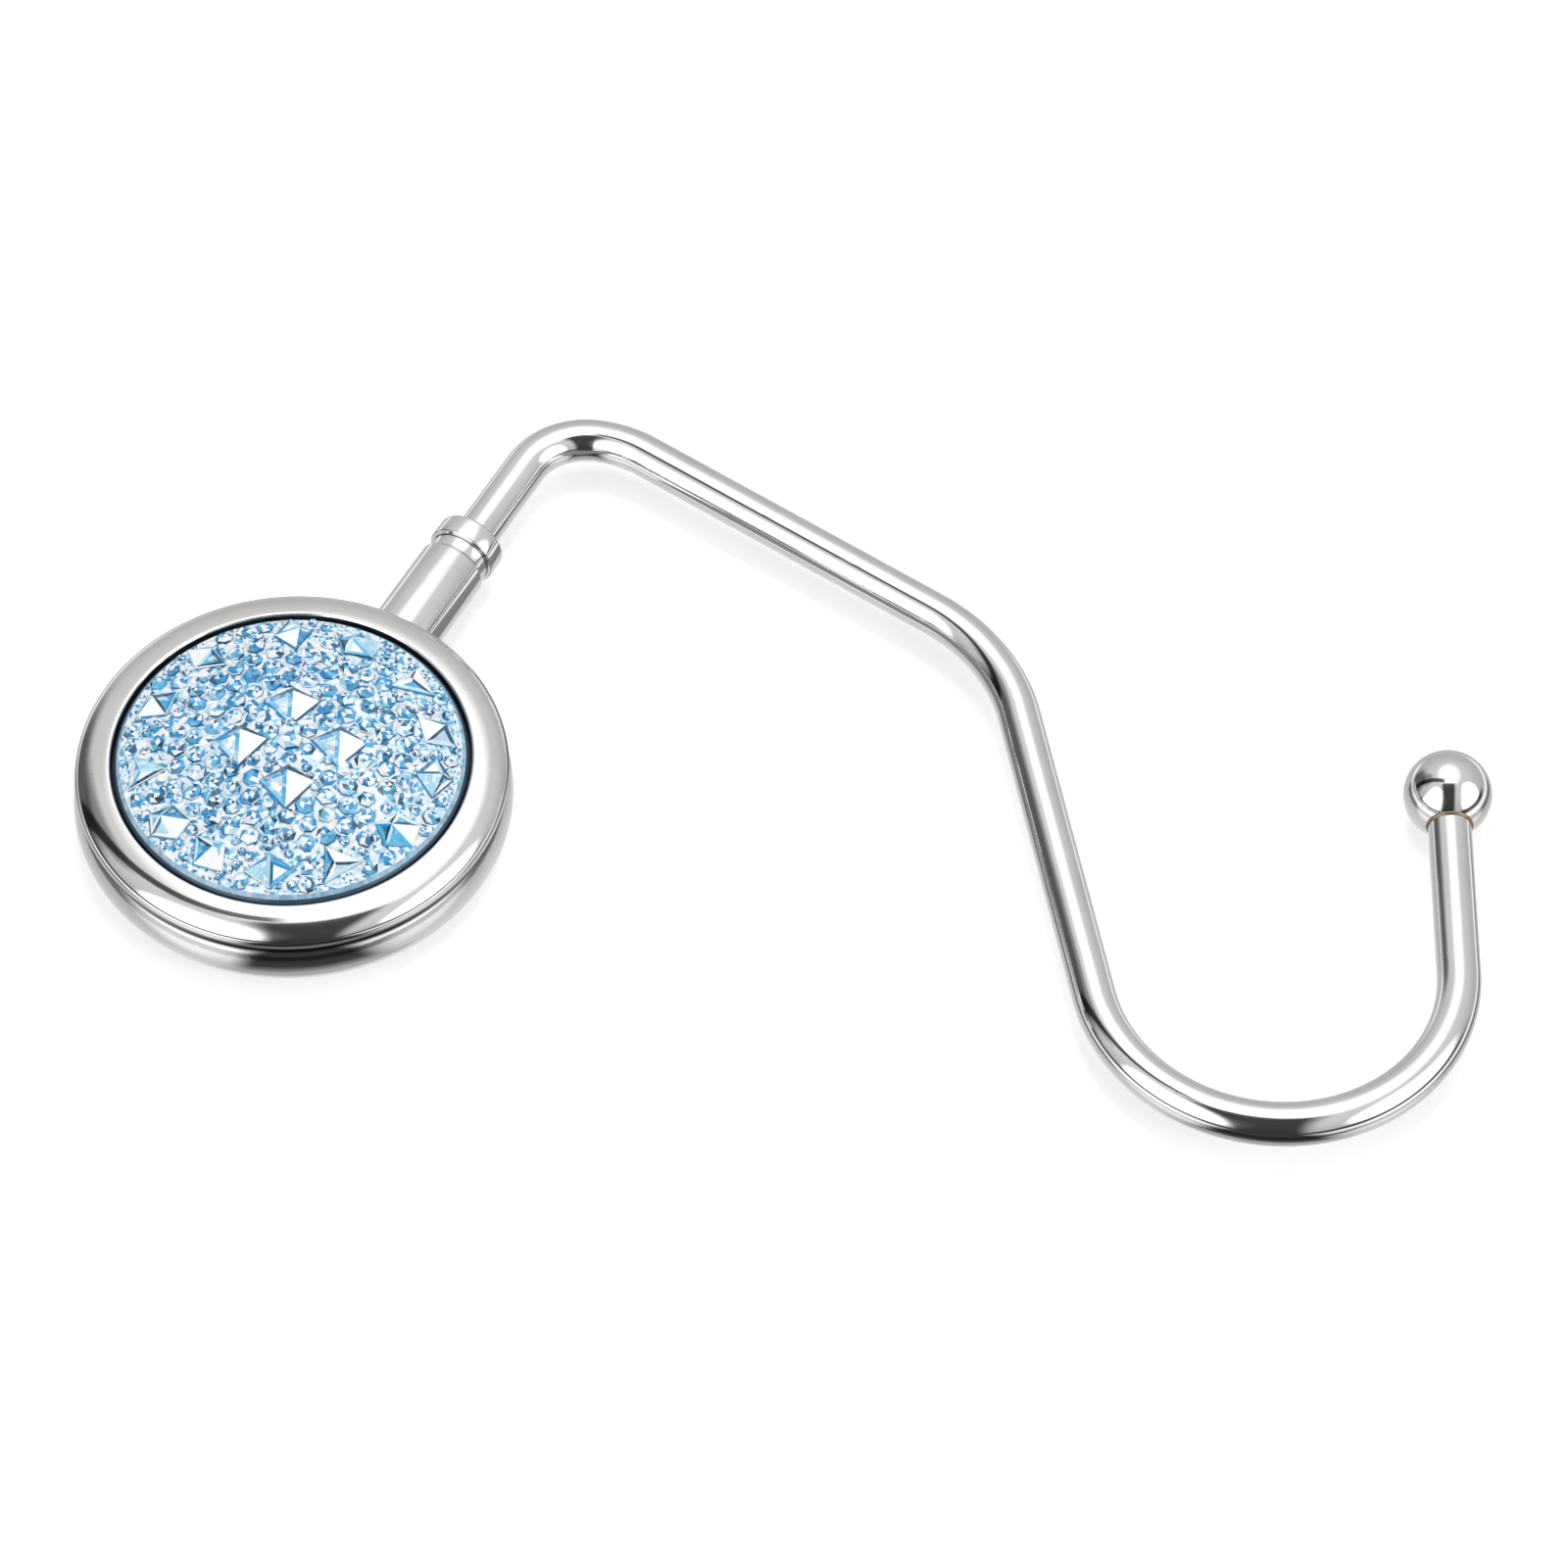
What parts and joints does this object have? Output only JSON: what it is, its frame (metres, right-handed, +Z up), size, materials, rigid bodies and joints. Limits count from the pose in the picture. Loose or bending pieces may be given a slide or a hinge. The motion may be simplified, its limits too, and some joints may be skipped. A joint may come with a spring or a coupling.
{
  "type": "purse hook",
  "caption": "Table hook for a handbag: round padded disc with a stone-look cabochon, short stem, and a bent wire hook that swivels and ends in a ball.",
  "frame": {"origin": "centre of the rubber pad's flat face, where the disc rests on a table", "axes": "+Z up out of the cabochon, +Y along the stem from the disc, +X towards the side the hook spreads to"},
  "size_m": [0.1344, 0.0795, 0.0129],
  "materials": {
    "bezel_plating": "polished silver plating",
    "base_plating": "polished silver plating",
    "stem_plating": "polished silver plating",
    "ferrule_plating": "polished silver plating",
    "wire_plating": "polished silver plating",
    "ball_plating": "polished silver plating",
    "stone_resin": "clear ice-blue faceted resin",
    "foil": "bright foil",
    "clear_glue": "clear glue",
    "pad_rubber": "matt black rubber",
    "adhesive_film": "double-sided adhesive film",
    "screw_steel": "zinc-plated steel",
    "washer_nylon": "natural nylon",
    "clip_steel": "spring steel"
  },
  "bodies": {
    "disc": {"bezel_cup": "bezel_plating", "base_shell": "base_plating", "pad_adhesive": "adhesive_film", "grip_pad": "pad_rubber", "shell_screw": "screw_steel", "cabochon_glue": "clear_glue", "foil_backing": "foil", "cabochon": "stone_resin", "stem_socket": "stem_plating", "swivel_ferrule": "ferrule_plating", "thrust_washer": "washer_nylon"},
    "hook": {"retaining_clip": "clip_steel", "hook_wire": "wire_plating", "ball_tip": "ball_plating"}
  },
  "joints": [
    {"name": "hook_swivel", "type": "hinge", "parent": "disc", "child": "hook", "pos_m": [0, 0.03, 0.005], "axis": [0, 1, 0], "continuous": true}
  ]
}
